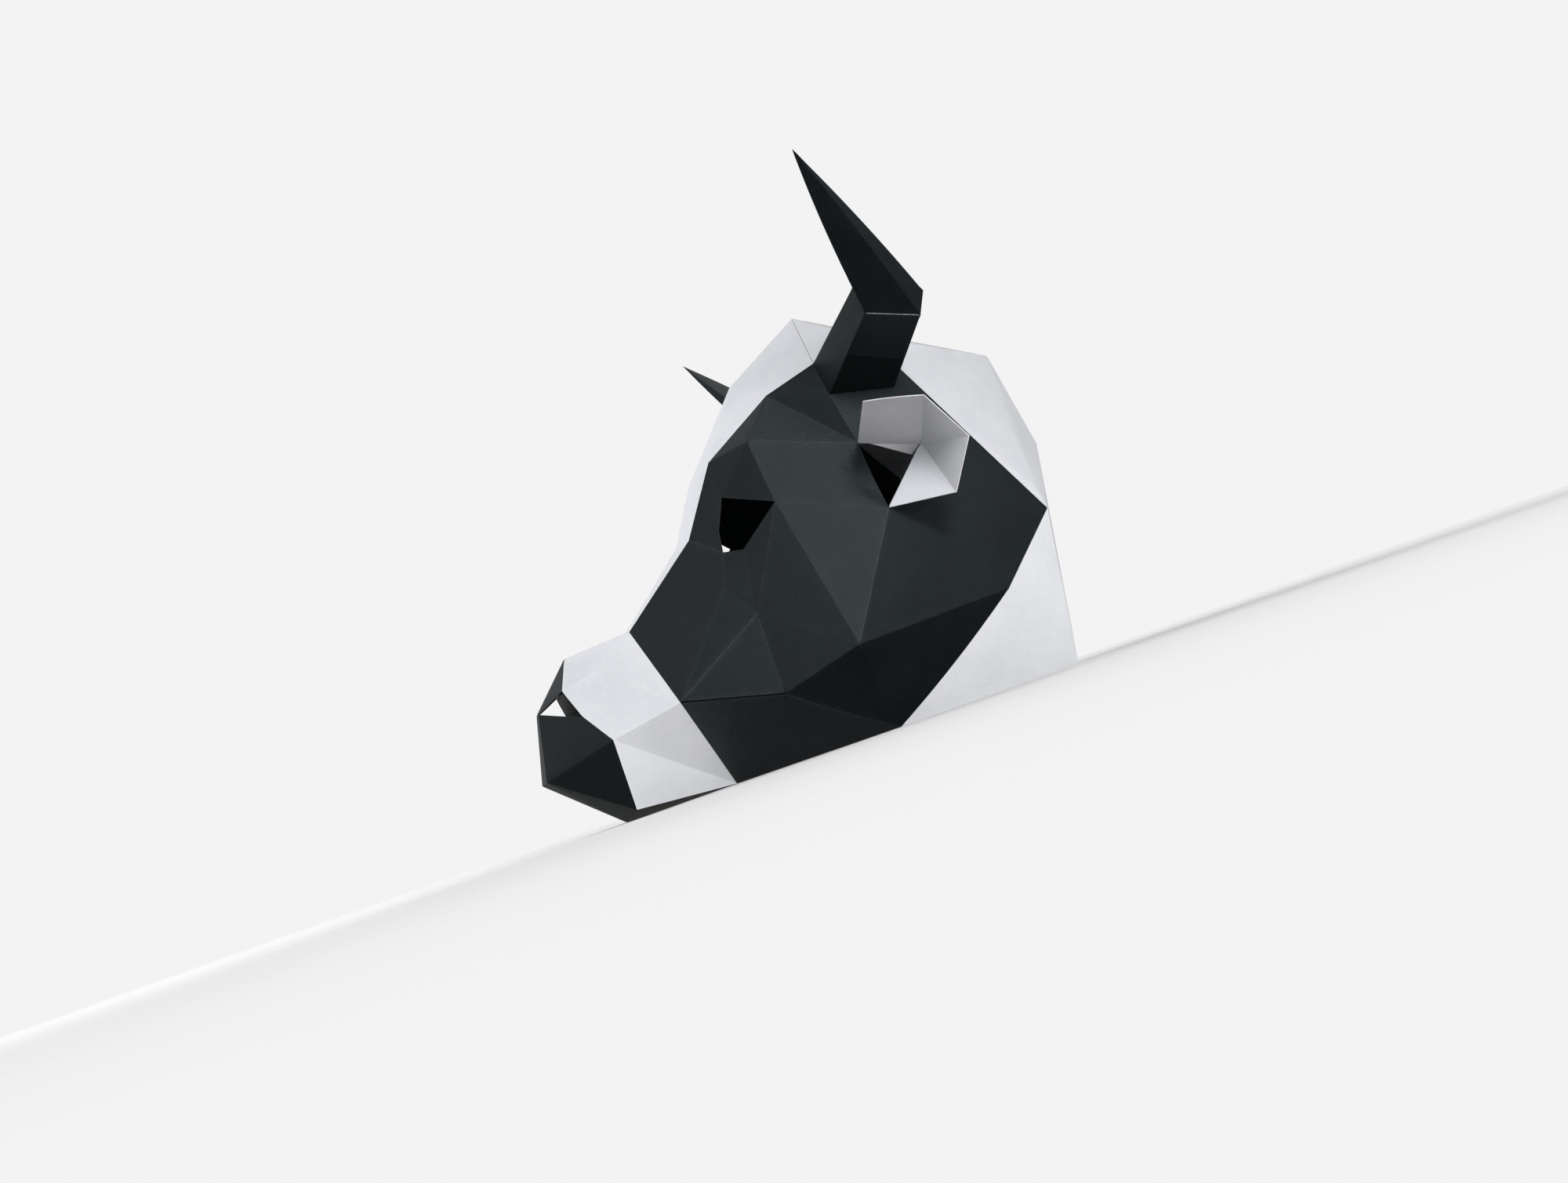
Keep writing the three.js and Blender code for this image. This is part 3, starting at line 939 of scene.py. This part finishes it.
# Soft lights: direction from the aim, distance and size in metres, and power in watts. A light
# is for the card's sheen alone or for its plain colour alone.
SOFTBOXES = [
    {"name": "sheen", "towards": (0.87, 0.11, 0.47), "distance": 1.7, "size": 0.36,
     "power": 12.3, "sheen": True},
    {"name": "side", "towards": (0.95, 0.12, 0.10), "distance": 1.8, "size": 1.0,
     "power": 17.4, "sheen": False},
    {"name": "side_back", "towards": (0.88, 0.48, 0.05), "distance": 1.8, "size": 1.0,
     "power": 11.0, "sheen": False},
    {"name": "top", "towards": (0.15, -0.60, 0.78), "distance": 1.8, "size": 1.0,
     "power": 9.6, "sheen": False},
    {"name": "far_front", "towards": (-0.55, -0.75, 0.37), "distance": 1.8, "size": 1.0,
     "power": 23.8, "sheen": False},
    {"name": "far_side", "towards": (-0.75, 0.58, 0.32), "distance": 1.8, "size": 1.0,
     "power": 14.0, "sheen": False},
]

# Camera: the photograph's lens, azimuth and roll, raised to stand just above the floor
AIM = Vector((0.0, -0.0095, 0.1154))
UP = Vector((0.0, 0.0, 1.0))
LENS, SENSOR = 37.8, 36.0
DISTANCE = 1.155
AZIMUTH, ROLL = math.radians(75.4), math.radians(19.4)
EYE_HEIGHT = 0.012
CLIP_START = 0.01


def floor_material():
    """Pale to the camera, plain to other rays, and clear far from the mask."""
    material, tree, shader, coords = new_material("floor_pale")
    shader.inputs["Roughness"].default_value = 1.0
    shader.inputs["Specular IOR Level"].default_value = 0.0
    shader.inputs["Base Color"].default_value = FLOOR_TONE
    shader.inputs["Emission Color"].default_value = WHITE
    shader.inputs["Emission Strength"].default_value = FLOOR_GLOW
    bounce = node(tree, "ShaderNodeBsdfDiffuse", Color=FLOOR_BOUNCE)
    clear = node(tree, "ShaderNodeBsdfTransparent")
    to_camera = node(tree, "ShaderNodeLightPath").outputs["Is Camera Ray"]
    near = mix_shaders(tree, to_camera, bounce.outputs[0], shader.outputs[0])
    reach = node(tree, "ShaderNodeVectorMath", operation="LENGTH")
    link(tree, coords, reach.inputs[0])
    fade = span(tree, reach.outputs["Value"], *FLOOR_FADE)
    surface = mix_shaders(tree, fade, near, clear.outputs[0])
    link(tree, surface, tree.nodes["Material Output"].inputs["Surface"])
    return material


def add_backdrop():
    """A plain backdrop for the camera, and the sky for the other rays."""
    world = bpy.data.worlds.new("studio")
    bpy.context.scene.world = world
    world.use_nodes = True
    tree = world.node_tree
    direction = node(tree, "ShaderNodeTexCoord").outputs["Generated"]
    height = facing(tree, direction, UP)
    fill = tree.nodes["Background"]
    fill.inputs["Color"].default_value = WHITE
    link(tree, span(tree, height, *FILL_RANGE, 0.0, FILL_ABOVE), fill.inputs["Strength"])
    sheen = node(tree, "ShaderNodeBackground", Color=WHITE)
    rising = span(tree, height, *SHEEN_RANGE, 0.0, SHEEN_ABOVE)
    overhead = span(tree, facing(tree, direction, OVERHEAD), *OVERHEAD_RANGE, 1.0, OVERHEAD_SHARE)
    below = span(tree, facing(tree, direction, BELOW), *BELOW_RANGE, 0.0, SHEEN_BELOW)
    strength = maths(tree, "ADD", maths(tree, "MULTIPLY", rising, overhead), below)
    link(tree, strength, sheen.inputs["Strength"])
    seen = node(tree, "ShaderNodeBackground", Color=BACKDROP)
    path = node(tree, "ShaderNodeLightPath").outputs
    sky = mix_shaders(tree, path["Is Glossy Ray"], fill.outputs[0], sheen.outputs[0])
    surface = mix_shaders(tree, path["Is Camera Ray"], sky, seen.outputs[0])
    link(tree, surface, tree.nodes["World Output"].inputs["Surface"])


def add_softbox(name, towards, distance, size, power, sheen):
    """A round soft light that faces the aim."""
    light = bpy.data.lights.new(name, "AREA")
    light.shape = "DISK"
    light.size = size
    light.energy = power
    lamp = bpy.data.objects.new(name, light)
    out = Vector(towards).normalized()
    lamp.location = AIM + out * distance
    lamp.rotation_mode = "QUATERNION"
    lamp.rotation_quaternion = out.to_track_quat("Z", "Y")
    lamp.visible_camera = False
    lamp.visible_glossy = sheen
    lamp.visible_diffuse = not sheen
    bpy.context.scene.collection.objects.link(lamp)


def add_camera():
    elevation = math.asin((EYE_HEIGHT - AIM.z) / DISTANCE)
    out = Vector((math.sin(AZIMUTH) * math.cos(elevation),
                  -math.cos(AZIMUTH) * math.cos(elevation), math.sin(elevation)))
    level = (-out).cross(UP).normalized()
    rise = level.cross(-out)
    right = level * math.cos(ROLL) - rise * math.sin(ROLL)
    up = level * math.sin(ROLL) + rise * math.cos(ROLL)
    lens = bpy.data.cameras.new("camera")
    lens.lens = LENS
    lens.sensor_width = SENSOR
    lens.clip_start = CLIP_START
    camera = bpy.data.objects.new("camera", lens)
    turn = Matrix((right, up, out)).transposed().to_4x4()
    camera.matrix_world = Matrix.Translation(AIM + out * DISTANCE) @ turn
    bpy.context.scene.collection.objects.link(camera)
    bpy.context.scene.camera = camera


bpy.ops.mesh.primitive_circle_add(vertices=FLOOR_SIDES, radius=FLOOR_RADIUS, fill_type="NGON")
floor = bpy.context.object
floor.name = "floor"
floor.data.materials.append(floor_material())
floor.visible_glossy = False
add_backdrop()
for row in SOFTBOXES:
    add_softbox(**row)
add_camera()
bpy.context.scene.view_settings.view_transform = "Standard"
